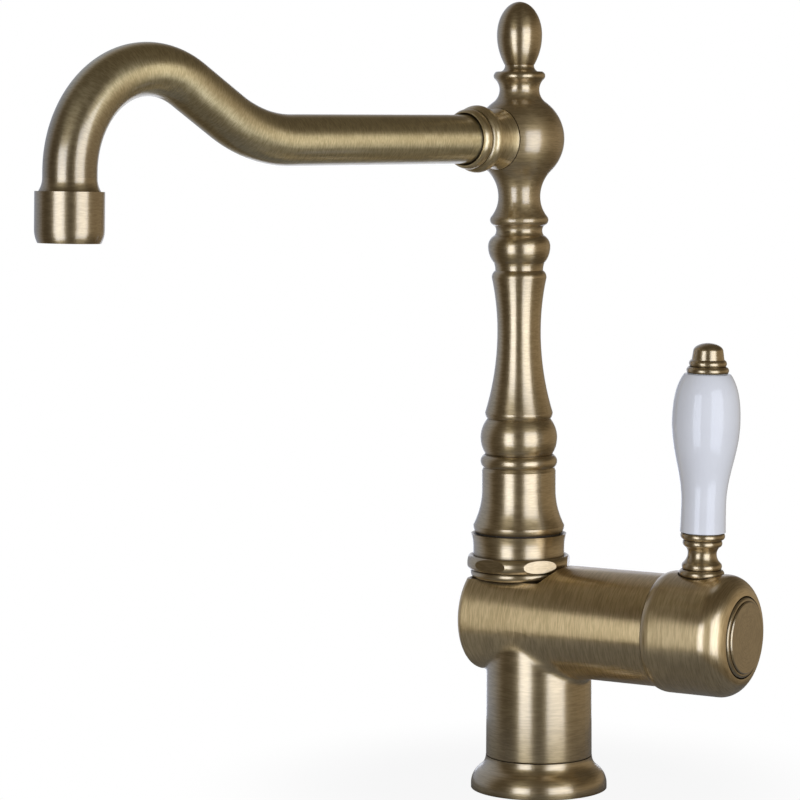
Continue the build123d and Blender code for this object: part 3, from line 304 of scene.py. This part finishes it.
# how each piece was brushed: direction and spread of its shine, roughness and groove depth, then
# painted light: a brightness scale on the colour that paints how strongly each piece catches the
# lamps, and a painted paler sheen that lifts green by half its share and blue by all of it
upright = dict(turn=0.25, spread=0.62, roughness=0.35, groove=0.00002, paintedLightScale=0.96)
rounded = dict(turn=0.25, spread=0.35, roughness=0.47, groove=0.00002, paintedLightScale=0.95)
narrow = dict(turn=0.25, spread=0.62, roughness=0.36, groove=0.00002, paintedLightScale=0.76)
level = dict(turn=0.0, spread=0.85, roughness=0.35, groove=0.000025, paintedLightScale=1.38)
ringed = dict(turn=0.0, spread=0.5, roughness=0.42, groove=0.00002, paintedLightScale=1.42, paintedSheenTint=0.13)
capped = dict(turn=0.0, spread=0.6, roughness=0.35, groove=0.000025, paintedLightScale=1.2)
button = dict(turn=0.0, spread=0.0, roughness=0.36, groove=0.00003, paintedLightScale=0.79)


def axisCoordinates(graph, place, turn):
    values = {0: graph.objectPoint(), 1: place, 2: turn}
    local = graph.split(graph.add("ShaderNodeMapping", {"vector_type": "TEXTURE"}, values))
    x, y = local.part("X"), local.part("Y")
    radius = (x * x + y * y + 1e-9).math("SQRT")   # never quite 0, as x and y are divided by it
    return x / radius, y / radius, local.part("Z"), radius


def brushMarks(graph, coordinates, pitch, streak, detail):
    x, y, along, radius = coordinates
    values = {
        "Vector": graph.vector(x * streak, y * streak, along / pitch),
        "W": radius / pitch,
        "Scale": 1.0,
        "Detail": detail,
        "Roughness": bronze["markRough"],
    }
    return graph.add("ShaderNodeTexNoise", {"noise_dimensions": "4D"}, values)


def brushing(graph, coordinates):
    fine = brushMarks(graph, coordinates, bronze["finePitch"], bronze["streak"] * 2, 1.0)
    broad = brushMarks(graph, coordinates, bronze["broadPitch"], bronze["streak"], 2.0)
    return fine, broad


def bronzeLayers(graph, fine, broad, paintedLightScale, paintedSheenTint=0.0):
    cloud = graph.noise(graph.objectPoint(), 1 / bronze["cloudPitch"], 3.0)
    reach = {"Distance": bronze["patinaReach"]}
    hollow = graph.add("ShaderNodeAmbientOcclusion", {"samples": 8}, reach, "AO")
    patina = graph.between(hollow, *bronze["patinaEdge"], 1.0, 0.0)
    fineTone, broadTone, cloudTone = bronze["toneMix"]
    fineHeight, broadHeight = bronze["heightMix"]
    tone = fine * fineTone + broad * broadTone + cloud * cloudTone
    # painted light: the two tones are scaled per piece for how it catches the lamps, and paled
    # towards a whiter sheen
    paintedLightTint = (paintedLightScale, paintedLightScale * (1 + paintedSheenTint / 2), paintedLightScale * (1 + paintedSheenTint))
    deep, light = (rgb(*(a * b for a, b in zip(paintedLightTint, bronze[name]))) for name in ("deep", "light"))
    clean = graph.blend(graph.between(tone, *bronze["toneEdge"]), deep, light)
    return dict(
        colour=graph.blend(patina * bronze["patinaShare"], clean, bronze["patina"]),
        uneven=(broad - 0.5) * bronze["broadRough"] + patina * bronze["patinaRough"],
        height=fine * fineHeight + broad * broadHeight,
        lacquer=bronze["lacquer"] * (1 - patina),
    )


def bronzeSurface(graph, layers, brush):
    values = {
        "Base Color": layers["colour"],
        "Roughness": layers["uneven"] + brush["roughness"],
        "Metallic": 1.0,
        "Normal": graph.bump(brush["groove"], layers["height"]),
        "Anisotropic": brush["spread"],
        "Anisotropic Rotation": brush["turn"],
        "Coat Weight": layers["lacquer"],
        "Coat Roughness": bronze["lacquerRough"],
        "Coat IOR": bronze["lacquerIor"],
    }
    return graph.add("ShaderNodeBsdfPrincipled", None, values)


def bronzeTurned(name, place, turn, brush):
    material, graph = newFinish(name)
    marks = brushing(graph, axisCoordinates(graph, place, turn))
    layers = bronzeLayers(graph, *marks, brush["paintedLightScale"], brush.get("paintedSheenTint", 0.0))
    showSurface(graph, bronzeSurface(graph, layers, brush))
    return material


columnPlace = (-tap["columnBack"], 0, 0)
unionPlace = (-tap["columnBack"], 0, tap["ballHeight"])
unionTurn = (0, radians(90), tap["spoutHeading"])
barrelPlace = (0, 0, tap["barrelHeight"])
barrelTurn = (0, radians(90), 0)
upTurn = (0, 0, 0)
lever = dict(place=(0.07555, 0, tap["barrelHeight"]), lean=radians(1.5))
bronzeColumn = bronzeTurned("bronzeColumn", columnPlace, upTurn, upright)
bronzeBall = bronzeTurned("bronzeBall", columnPlace, upTurn, rounded)
bronzeBase = bronzeTurned("bronzeBase", (0, 0, 0), upTurn, upright)
bronzeCap = bronzeTurned("bronzeCap", barrelPlace, barrelTurn, capped)
bronzeButton = bronzeTurned("bronzeButton", barrelPlace, barrelTurn, button)
bronzeLever = bronzeTurned("bronzeLever", lever["place"], (0, lever["lean"], 0), upright)
bronzeUnion = bronzeTurned("bronzeUnion", unionPlace, unionTurn, ringed)

# the casting is brushed round the pedestal below and round the barrel above
casting = dict(
    barrelRadius=0.0234, standLow=0.0224, standHigh=0.0221, standFoot=0.0145,
    grainChange=(0.0002, 0.0016), blend=0.0034, blendBack=0.0023, blendFront=0.9,
    around=240, across=14, depth=0.0004,
)
bronzeBody, graph = newFinish("bronzeBody")
barrelWays = axisCoordinates(graph, barrelPlace, barrelTurn)
standWays = axisCoordinates(graph, (0, 0, 0), upTurn)
# painted light: the barrel's tones get a brighter scale than the pedestal's
barrelLayers = bronzeLayers(graph, *brushing(graph, barrelWays), level["paintedLightScale"])
standLayers = bronzeLayers(graph, *brushing(graph, standWays), upright["paintedLightScale"])
barrelSurface = bronzeSurface(graph, barrelLayers, level)
standSurface = bronzeSurface(graph, standLayers, upright)
fromBarrel = barrelWays[3] - casting["barrelRadius"]
onStand = graph.between(fromBarrel, *casting["grainChange"])
showSurface(graph, graph.mixShader(onStand, barrelSurface, standSurface))


# the cast blend where the pedestal runs into the barrel: wide where they meet flat, tight where
# they cross, and a little narrower at the back
def blendWidth(angle):
    side = casting["blend"]
    if cos(angle) <= 0:
        side += (casting["blendBack"] - casting["blend"]) * cos(angle) ** 2
    space = casting["barrelRadius"] / max(abs(sin(angle)), 0.01) - casting["standHigh"]
    return (side ** -4 + (casting["blendFront"] * space) ** -4) ** -0.25   # a soft minimum


def blendPoint(angle, offStand, offBarrel):
    top, foot = tap["barrelHeight"], casting["standFoot"]
    taper = casting["standHigh"] - casting["standLow"]
    wall = casting["barrelRadius"] + offBarrel
    height = top / 2
    for guess in range(6):   # the pedestal tapers a little, so its radius follows the height
        share = (height - foot) / (top - foot)
        reach = casting["standLow"] + taper * share + offStand
        y = reach * sin(angle)
        height = top - max(wall ** 2 - y * y, 0) ** 0.5
    return reach * cos(angle), y, height


blendShape = bmesh.new()
rings = []
for turn in range(casting["around"]):
    angle = 2 * pi * turn / casting["around"]
    width = blendWidth(angle)
    ring = []
    for stop in range(casting["across"] + 1):
        side = 2 * stop / casting["across"] - 1
        least = (1 - abs(side)) ** 2 * width / 4
        offStand = least + max(side, 0) * width
        offBarrel = least + max(-side, 0) * width
        ring.append(blendShape.verts.new(blendPoint(angle, offStand, offBarrel)))
    ring.append(blendShape.verts.new(blendPoint(angle, -casting["depth"], -casting["depth"])))
    rings.append(ring)
for ring, after in zip(rings, rings[1:] + rings[:1]):
    for stop in range(len(ring)):
        beside = (stop + 1) % len(ring)
        face = blendShape.faces.new((ring[stop], after[stop], after[beside], ring[beside]))
        face.smooth = beside < len(ring) - 1 and stop < len(ring) - 1
for ring, after in zip(rings, rings[1:] + rings[:1]):
    for stop in (0, casting["across"]):
        blendShape.edges.get((ring[stop], after[stop])).smooth = False
bmesh.ops.recalc_face_normals(blendShape, faces=blendShape.faces)
blendMesh = bpy.data.meshes.new("castingBlend")
blendShape.to_mesh(blendMesh)
blendShape.free()
blendMesh.materials.append(bronzeBody)
castingBlend = bpy.data.objects.new("castingBlend", blendMesh)
scene.collection.objects.link(castingBlend)
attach(castingBlend, "body")
print("casting: blended")

# swan-neck tube: line, bend, line, arch and leg, swept in Geometry Nodes
# the spout's brightness scale and paler tint are painted light, and the steep leg's lower scale is
# painted shade
spout = dict(
    start=0.0221, radius=0.0100, rise=radians(31), bend=0.0656, arch=0.0383, archDrop=0.0118,
    archReach=0.207, tilt=radians(1.5), leg=0.0073, flare=0.0049, step=0.0012, sides=96,
    curveSteps=32, roughness=0.37, groove=0.000016, paintedLightScale=1.52, paintedSheenTint=0.25, steepPaintedLightScale=0.66,
    farCentre=20,
)
outward = Vector((cos(tap["spoutHeading"]), sin(tap["spoutHeading"]), 0))


def spoutPoint(distance, height):
    return Vector((-tap["columnBack"], 0, height)) + outward * distance


def arcHandle(angle, radius):   # the handle length with which a Bezier curve follows an arc
    return 4 / 3 * tan(angle / 4) * radius


def spoutRoute():
    rise, tilt, arch, bend = spout["rise"], spout["tilt"], spout["arch"], spout["bend"]
    onward = Vector((1, 0))
    upward = Vector((cos(rise), sin(rise)))
    downward = Vector((sin(tilt), -cos(tilt)))
    start = Vector((spout["start"], tap["ballHeight"]))
    middle = Vector((spout["archReach"], tap["ballHeight"] - spout["archDrop"]))
    archStart = middle + arch * Vector((-sin(rise), cos(rise)))
    archTop = middle + arch * Vector((0, 1))
    archEnd = middle + arch * Vector((cos(tilt), sin(tilt)))
    cornerReach = archStart.x - (archStart.y - tap["ballHeight"]) / tan(rise)
    corner = Vector((cornerReach, tap["ballHeight"]))
    bendLength = bend * tan(rise / 2)
    bendStart = corner - bendLength * onward
    bendEnd = corner + bendLength * upward
    tubeEnd = archEnd + (spout["leg"] - spout["flare"]) * downward
    armThird = (bendStart - start).length / 3
    riseThird = (archStart - bendEnd).length / 3
    legThird = (tubeEnd - archEnd).length / 3
    bendHandle = arcHandle(rise, bend)
    archHandle = arcHandle(rise, arch)
    overHandle = arcHandle(pi / 2 - tilt, arch)
    # each stop: point, heading, handle length before it and after it
    return [
        (start, onward, 0.0, armThird),
        (bendStart, onward, armThird, bendHandle),
        (bendEnd, upward, bendHandle, riseThird),
        (archStart, upward, riseThird, archHandle),
        (archTop, onward, archHandle, overHandle),
        (archEnd, downward, overHandle, legThird),
        (tubeEnd, downward, legThird, 0.0),
    ]


def newTree(name, inputs):
    tree = bpy.data.node_groups.new(name, "GeometryNodeTree")
    tree.interface.new_socket("Geometry", in_out="INPUT", socket_type="NodeSocketGeometry")
    for label, kind in inputs.items():
        tree.interface.new_socket(label, in_out="INPUT", socket_type=kind)
    tree.interface.new_socket("Geometry", in_out="OUTPUT", socket_type="NodeSocketGeometry")
    return tree, Graph(tree)


def closeTree(graph, geometry, material):
    real = graph.add("GeometryNodeRealizeInstances", None, {"Geometry": geometry})
    values = {"Geometry": real, "Material": material}
    dressed = graph.add("GeometryNodeSetMaterial", None, values)
    graph.add("NodeGroupOutput", None, {"Geometry": dressed})


def grow(name, data, tree, values):
    holder = bpy.data.objects.new(name + "Rule", data)
    scene.collection.objects.link(holder)
    modifier = holder.modifiers.new("rule", "NODES")
    modifier.node_group = tree
    for item in tree.interface.items_tree:
        if item.in_out == "INPUT" and item.name in values:
            modifier[item.identifier] = values[item.name]
    depsgraph = bpy.context.evaluated_depsgraph_get()
    mesh = bpy.data.meshes.new_from_object(holder.evaluated_get(depsgraph))
    holder.modifiers.remove(modifier)
    bpy.data.objects.remove(holder)
    piece = bpy.data.objects.new(name, mesh)
    scene.collection.objects.link(piece)
    print("grown:", name, len(mesh.polygons), "faces")
    return piece


bronzeSpout, graph = newFinish("bronzeSpout")
around = graph.split(graph.attribute("around", "Vector"))
along, lean, climb = (graph.attribute(name) for name in ("along", "lean", "climb"))
marks = brushing(graph, (around.part("X"), around.part("Y"), along, along * 0))
layers = bronzeLayers(graph, *marks, spout["paintedLightScale"], spout["paintedSheenTint"])
# painted shade: a darker copy of the tones for the steep leg, blended in by the slope
steepPaintedLayers = bronzeLayers(graph, *marks, spout["steepPaintedLightScale"])
layers["colour"] = graph.blend(climb * climb, layers["colour"], steepPaintedLayers["colour"])
surface = None
for stop in (-1.0, -0.5, 0.0, 0.5, 1.0):   # the shine turns with the tube, from level to upright
    brush = dict(
        turn=(-stop / 4) % 1,
        spread=level["spread"] + (upright["spread"] - level["spread"]) * abs(stop),
        roughness=spout["roughness"],
        groove=spout["groove"],
    )
    piece = bronzeSurface(graph, layers, brush)
    if surface is None:
        surface = piece
    else:
        surface = graph.mixShader(graph.between(lean, stop - 0.5, stop), surface, piece)
showSurface(graph, surface)

tubeInputs = {label: "NodeSocketFloat" for label in ("Radius", "Step")}
tubeInputs |= {"Sides": "NodeSocketInt", "Flank": "NodeSocketVector"}
tubeTree, graph = newTree("sweptTube", tubeInputs)
given = graph.add("NodeGroupInput")
path = graph.evenSteps(given, given.part("Step"))
path = graph.store(path, "along", graph.add("GeometryNodeSplineParameter", output="Length"))
heading = graph.split(graph.add("GeometryNodeInputTangent"))
path = graph.store(path, "climb", heading.part("Z"))
position = {0: graph.add("GeometryNodeInputPosition")}
unit = graph.add("ShaderNodeVectorMath", {"operation": "NORMALIZE"}, position)
ring = graph.circle(given.part("Sides"), given.part("Radius"))
swept = graph.sweep(path, graph.store(ring, "around", unit, "FLOAT_VECTOR"))
slope = graph.add("GeometryNodeInputNamedAttribute", {"data_type": "FLOAT"}, {"Name": "climb"})
flank = graph.dot(graph.add("GeometryNodeInputNormal"), given.part("Flank"))
levelShare = (1 - slope * slope).math("MAXIMUM", 0.0).math("SQRT")
leaning = (slope * flank).math("ARCTAN2", levelShare) / (pi / 2)
swept = graph.store(swept, "lean", leaning, domain="FACE")
smooth = graph.add("GeometryNodeSetShadeSmooth", None, {"Geometry": swept})
closeTree(graph, smooth, bronzeSpout)

route = spoutRoute()
routeData = bpy.data.curves.new("spoutRoute", "CURVE")
routeData.dimensions = "3D"
spline = routeData.splines.new("BEZIER")
spline.bezier_points.add(len(route) - 1)
for stop, (point, heading, before, after) in zip(spline.bezier_points, route):
    stop.handle_left_type = "FREE"
    stop.handle_right_type = "FREE"
    stop.co = spoutPoint(*point)
    stop.handle_left = spoutPoint(*(point - heading * before))
    stop.handle_right = spoutPoint(*(point + heading * after))
spline.resolution_u = spout["curveSteps"]
flankSide = Vector((-outward.y, outward.x, 0))   # level, square to the spout, on the lever's side
tubeSizes = {label.capitalize(): spout[label] for label in ("radius", "step", "sides")}
spoutTube = grow("spoutTube", routeData, tubeTree, tubeSizes | {"Flank": flankSide})
# a far centre keeps the shine's direction along the spout
shineCentre = spoutPoint(spout["archReach"] / 2, tap["ballHeight"]) - flankSide * spout["farCentre"]
spoutTube.data.use_auto_texspace = False
spoutTube.data.texspace_location = shineCentre
spoutTube.data.texspace_size = (1, 1, 1)
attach(spoutTube, "spout")
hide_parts("spout_tube")

archEnd, downward = route[5][:2]
legPlace = spoutPoint(*(archEnd + spout["leg"] * downward))
legTurn = (0, -spout["tilt"], tap["spoutHeading"])
bronzeLeg = bronzeTurned("bronzeLeg", legPlace, legTurn, narrow)

dress(bronzeColumn, "swivel_socket", "swivel_collar", "column", "finial")
dress(bronzeBall, "ball_head")
dress(bronzeBase, "base_flange")
dress(bronzeBody, "mixer_body")
dress(bronzeCap, "handle_cap")
dress(bronzeButton, "index_bezel", "index_disc")
dress(bronzeLever, "lever_post", "grip_end_cap")
dress(bronzeUnion, "union_socket", "union_nut")
dress(bronzeLeg, "spout_outlet", "aerator_housing")
print("bronze: dressed")

# glazed porcelain
porcelain = dict(
    white=rgb(0.79, 0.775, 0.76), shade=rgb(0.76, 0.745, 0.735), roughness=0.12, uneven=0.06,
    poolScale=60.0, rippleScale=420.0, ripple=0.00002,
)
toneEdge = (0.3, 0.7)   # of the noise, where one tone gives way to the other
porcelainGlaze, graph = newFinish("porcelainGlaze")
point = graph.objectPoint()
pool = graph.noise(point, porcelain["poolScale"], 2.0)
ripple = graph.noise(point, porcelain["rippleScale"], 1.0)
glaze = {
    "Base Color": graph.blend(
        graph.between(pool, *toneEdge), porcelain["shade"], porcelain["white"]
    ),
    "Roughness": porcelain["roughness"] + (pool - 0.5) * porcelain["uneven"],
    "Normal": graph.bump(porcelain["ripple"], ripple),
}
showSurface(graph, graph.add("ShaderNodeBsdfPrincipled", None, glaze))
dress(porcelainGlaze, "porcelain_grip")

# plain finishes of the inner pieces: two tones, roughness, metallic and grain in metres
plainFinishes = [
    dict(name="blackRubber", dark=rgb(0.012, 0.012, 0.013), light=rgb(0.03, 0.03, 0.031),
         roughness=0.62, metallic=0.0, grain=0.0005,
         on=("base_gasket", "socket_seal", "swivel_orings", "column_oring", "union_oring",
             "base_seals", "aerator_washer")),
    dict(name="paleWasher", dark=rgb(0.42, 0.42, 0.41), light=rgb(0.56, 0.56, 0.55),
         roughness=0.4, metallic=0.0, grain=0.0006, on=("grip_washers",)),
    dict(name="brownPlastic", dark=rgb(0.03, 0.021, 0.011), light=rgb(0.055, 0.038, 0.02),
         roughness=0.5, metallic=0.0, grain=0.0008, on=("slip_ring",)),
    dict(name="darkPlastic", dark=rgb(0.02, 0.018, 0.016), light=rgb(0.05, 0.045, 0.04),
         roughness=0.45, metallic=0.0, grain=0.0008,
         on=("cartridge_base", "cartridge_housing", "disc_coupler", "spindle_carrier",
             "aerator_insert")),
    dict(name="machinedSteel", dark=rgb(0.42, 0.42, 0.43), light=rgb(0.62, 0.62, 0.63),
         roughness=0.32, metallic=1.0, grain=0.0004,
         on=("retaining_screw", "pivot_pin", "lever_spindle", "handle_screw", "lever_rod")),
    dict(name="machinedBrass", dark=rgb(0.52, 0.38, 0.16), light=rgb(0.72, 0.55, 0.25),
         roughness=0.3, metallic=1.0, grain=0.0004, on=("swivel_spigot", "cartridge_nut")),
    dict(name="polishedCeramic", dark=rgb(0.74, 0.72, 0.68), light=rgb(0.84, 0.82, 0.78),
         roughness=0.15, metallic=0.0, grain=0.0012, on=("fixed_disc", "moving_disc")),
]
plainGrain = dict(uneven=0.15, depth=0.02)   # depth as a share of the grain


def plainFinish(recipe):
    material, graph = newFinish(recipe["name"])
    grain = graph.noise(graph.objectPoint(), 1 / recipe["grain"], 3.0)
    tone = graph.between(grain, *toneEdge)
    values = {
        "Base Color": graph.blend(tone, recipe["dark"], recipe["light"]),
        "Roughness": recipe["roughness"] + (grain - 0.5) * plainGrain["uneven"],
        "Metallic": recipe["metallic"],
        "Normal": graph.bump(recipe["grain"] * plainGrain["depth"], grain),
    }
    showSurface(graph, graph.add("ShaderNodeBsdfPrincipled", None, values))
    return material


plain = {}
for recipe in plainFinishes:
    plain[recipe["name"]] = plainFinish(recipe)
    dress(plain[recipe["name"]], *recipe["on"])
print("inner pieces: dressed")

# woven wire in the spout's mouth: one set of wires, and the same set turned and upside down
mouthMesh = dict(
    pitch=0.00095, wire=0.00013, wave=0.00014, reach=0.0106, rim=0.00028, step=0.00024,
    depth=0.0168, wireSides=6, rimSides=8, hoopSides=96,
)
meshLabels = ("Pitch", "Wire", "Wave", "Reach", "Rim", "Step")
meshInputs = {label: "NodeSocketFloat" for label in meshLabels} | {"Rows": "NodeSocketInt"}
meshTree, graph = newTree("wovenMesh", meshInputs)
given = graph.add("NodeGroupInput")
pitch, reach = given.part("Pitch"), given.part("Reach")
rowValues = {
    "Count": given.part("Rows"),
    "Start Location": graph.vector(reach * -1, (given.part("Rows") - 1) * pitch * -0.5, 0.0),
    "Offset": graph.vector(0.0, pitch, 0.0),
}
rows = graph.add("GeometryNodeMeshLine", None, rowValues)
lineEnd = {"End": graph.vector(reach * 2, 0.0, 0.0)}
strand = graph.add("GeometryNodeCurvePrimitiveLine", None, lineEnd)
strand = graph.evenSteps(strand, given.part("Step"))
strands = graph.add("GeometryNodeInstanceOnPoints", None, {"Points": rows, "Instance": strand})
strands = graph.add("GeometryNodeRealizeInstances", None, {"Geometry": strands})
place = graph.split(graph.add("GeometryNodeInputPosition"))
x, y = place.part("X"), place.part("Y")
weave = (x * pi / pitch).math("COSINE") * (y * pi / pitch).math("COSINE")
waved = {"Geometry": strands, "Offset": graph.vector(0.0, 0.0, weave * given.part("Wave"))}
strands = graph.add("GeometryNodeSetPosition", None, waved)
outside = (x * x + y * y).math("SQRT").math("GREATER_THAN", reach)
trimmed = {"Geometry": strands, "Selection": outside}
strands = graph.add("GeometryNodeDeleteGeometry", {"domain": "POINT"}, trimmed)
turned = {"Geometry": strands, "Rotation": (0, 0, pi / 2), "Scale": (1, 1, -1)}
both = graph.join(strands, graph.add("GeometryNodeTransform", None, turned))
wires = graph.sweep(both, graph.circle(mouthMesh["wireSides"], given.part("Wire")))
hoopRing = graph.circle(mouthMesh["rimSides"], given.part("Rim"))
hoop = graph.sweep(graph.circle(mouthMesh["hoopSides"], reach), hoopRing, caps=False)
woven = {"Geometry": graph.join(wires, hoop)}
smooth = graph.add("GeometryNodeSetShadeSmooth", None, woven)
closeTree(graph, smooth, plain["machinedSteel"])

meshSizes = {label: mouthMesh[label.lower()] for label in meshLabels}
meshSizes["Rows"] = 2 * int(mouthMesh["reach"] / mouthMesh["pitch"]) + 1
aeratorMesh = grow("aeratorMesh", bpy.data.meshes.new("aeratorMeshStart"), meshTree, meshSizes)
legFrame = Matrix.Translation(legPlace) @ Euler(legTurn).to_matrix().to_4x4()
aeratorMesh.data.transform(legFrame @ Matrix.Translation((0, 0, -mouthMesh["depth"])))
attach(aeratorMesh, "spout")
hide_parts("aerator_screen")

# threads in the holes under the base: a ridge wound up each wall
threads = [
    dict(name="inletThreadFront", place=(0.005, -0.0075, 0.0018), radius=0.0045,
         pitch=0.001, turns=10.5, ridge=0.0004),
    dict(name="inletThreadBack", place=(0.005, 0.0075, 0.0018), radius=0.0045,
         pitch=0.001, turns=10.5, ridge=0.0004),
    dict(name="studThread", place=(-0.009, 0, 0.0018), radius=0.0034,
         pitch=0.00125, turns=14.5, ridge=0.0005),
]
threadShape = dict(stepsPerTurn=40, ridgeSides=3)
threadLabels = ("Radius", "Pitch", "Turns", "Ridge")
threadTree, graph = newTree("threadRidge", {label: "NodeSocketFloat" for label in threadLabels})
given = graph.add("NodeGroupInput")
windingValues = {
    "Resolution": threadShape["stepsPerTurn"],
    "Rotations": given.part("Turns"),
    "Start Radius": given.part("Radius"),
    "End Radius": given.part("Radius"),
    "Height": given.part("Turns") * given.part("Pitch"),
}
winding = graph.add("GeometryNodeCurveSpiral", None, windingValues)
winding = graph.add("GeometryNodeSetCurveNormal", {"mode": "Z_UP"}, {"Curve": winding})
ridgeRing = graph.circle(threadShape["ridgeSides"], given.part("Ridge"))
closeTree(graph, graph.sweep(winding, ridgeRing), plain["machinedBrass"])
for thread in threads:
    threadSizes = {label: thread[label.lower()] for label in threadLabels}
    startMesh = bpy.data.meshes.new(thread["name"] + "Start")
    threadPiece = grow(thread["name"], startMesh, threadTree, threadSizes)
    threadPiece.data.transform(Matrix.Translation(thread["place"]))
    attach(threadPiece, "body")
